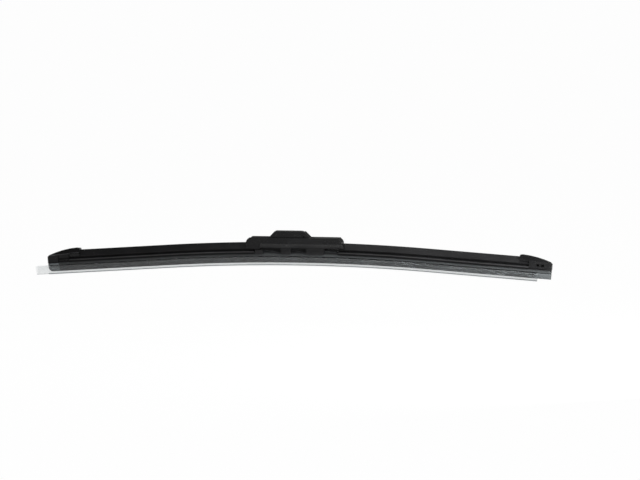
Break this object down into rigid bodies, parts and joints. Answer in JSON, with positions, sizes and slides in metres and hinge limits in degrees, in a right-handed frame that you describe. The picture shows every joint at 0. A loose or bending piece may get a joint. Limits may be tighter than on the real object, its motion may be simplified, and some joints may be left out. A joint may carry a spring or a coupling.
{
  "type": "wiper blade",
  "caption": "Bowed frameless windscreen wiper blade with spoilers, end caps, a hook connector with a hinged lid and a clear guard over the rubber lip.",
  "frame": {"origin": "on the pivot axis at the middle of the blade, where the arm's hook is centred", "axes": "+X along the blade, away from the side where the arm leaves; -Y towards the front face in the picture; +Z away from the glass"},
  "size_m": [0.52, 0.0216, 0.048],
  "materials": {
    "black_plastic": "fine satin grain",
    "soft_spoiler": "satin extruded",
    "wiping_rubber": "graphite-dusted matte",
    "spring_steel": "dark coated strip",
    "pin_steel": "turned",
    "clear_plastic": "clear extruded"
  },
  "bodies": {
    "adaptor": {"hook_adaptor": "black_plastic", "lid_pin": "black_plastic"},
    "lid": {"adaptor_lid": "black_plastic"},
    "blade": {"wiper_rubber": "wiping_rubber", "rail_front": "spring_steel", "rail_rear": "spring_steel", "blade_guard": "clear_plastic", "spoiler_left": "soft_spoiler", "spoiler_right": "soft_spoiler", "end_cap_left": "black_plastic", "end_cap_right": "black_plastic", "connector_base": "black_plastic", "connector_cover": "black_plastic", "pivot_pin": "pin_steel"}
  },
  "joints": [
    {"name": "blade_pivot", "type": "hinge", "parent": "adaptor", "child": "blade", "pos_m": [0, 0, 0], "axis": [0, 1, 0], "range_deg": [-10, 10]},
    {"name": "lid_hinge", "type": "hinge", "parent": "adaptor", "child": "lid", "pos_m": [0.0072, 0, 0.0066], "axis": [0, 1, 0], "range_deg": [0, 85]}
  ]
}
